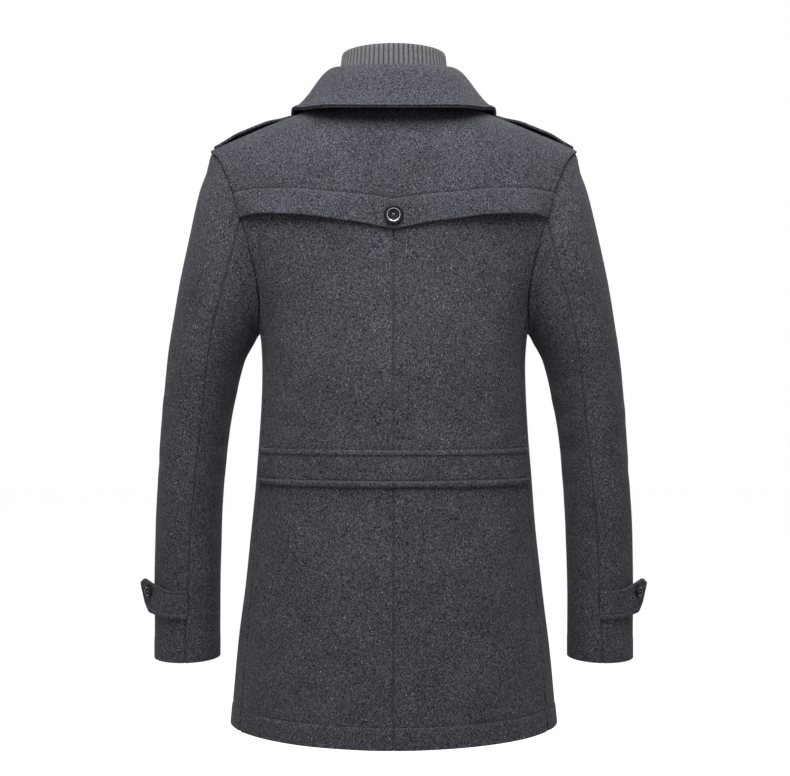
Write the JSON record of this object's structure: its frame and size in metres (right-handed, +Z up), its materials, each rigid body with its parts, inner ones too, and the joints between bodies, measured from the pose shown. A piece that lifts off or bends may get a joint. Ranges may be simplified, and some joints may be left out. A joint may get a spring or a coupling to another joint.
{
  "type": "wool trench coat",
  "caption": "Hip-length wool coat, hollow as worn, with a storm flap and half belt on the back, shoulder straps, cuff tabs, a turn-down collar and a ribbed knit inner collar",
  "frame": {"origin": "Centre of the neck opening, level with the neck ends of the shoulder seams, where the wearer's shoulders hold the coat", "axes": "+X to the wearer's left, +Y to the wearer's back, +Z up"},
  "size_m": [0.6416, 0.3035, 0.8352],
  "materials": {
    "wool": "charcoal melange wool melton with a short nap",
    "knit": "warm grey ribbed wool knit",
    "button": "black gloss with a narrow metal ring"
  },
  "bodies": {
    "root": {"back_left": "wool", "back_right": "wool", "front_left": "wool", "front_right": "wool", "sleeve_upper_left": "wool", "sleeve_upper_right": "wool", "sleeve_under_left": "wool", "sleeve_under_right": "wool", "back_yoke": "wool", "back_belt": "wool", "collar_fall": "wool", "collar_stand": "wool", "knit_collar": "knit", "epaulette_left": "wool", "epaulette_right": "wool", "cuff_tab_left": "wool", "cuff_tab_right": "wool", "button_yoke": "button", "button_cuff_left": "button", "button_cuff_right": "button", "button_front_1": "button", "button_front_2": "button", "button_front_3": "button", "button_front_4": "button", "button_front_5": "button"}
  },
  "joints": []
}
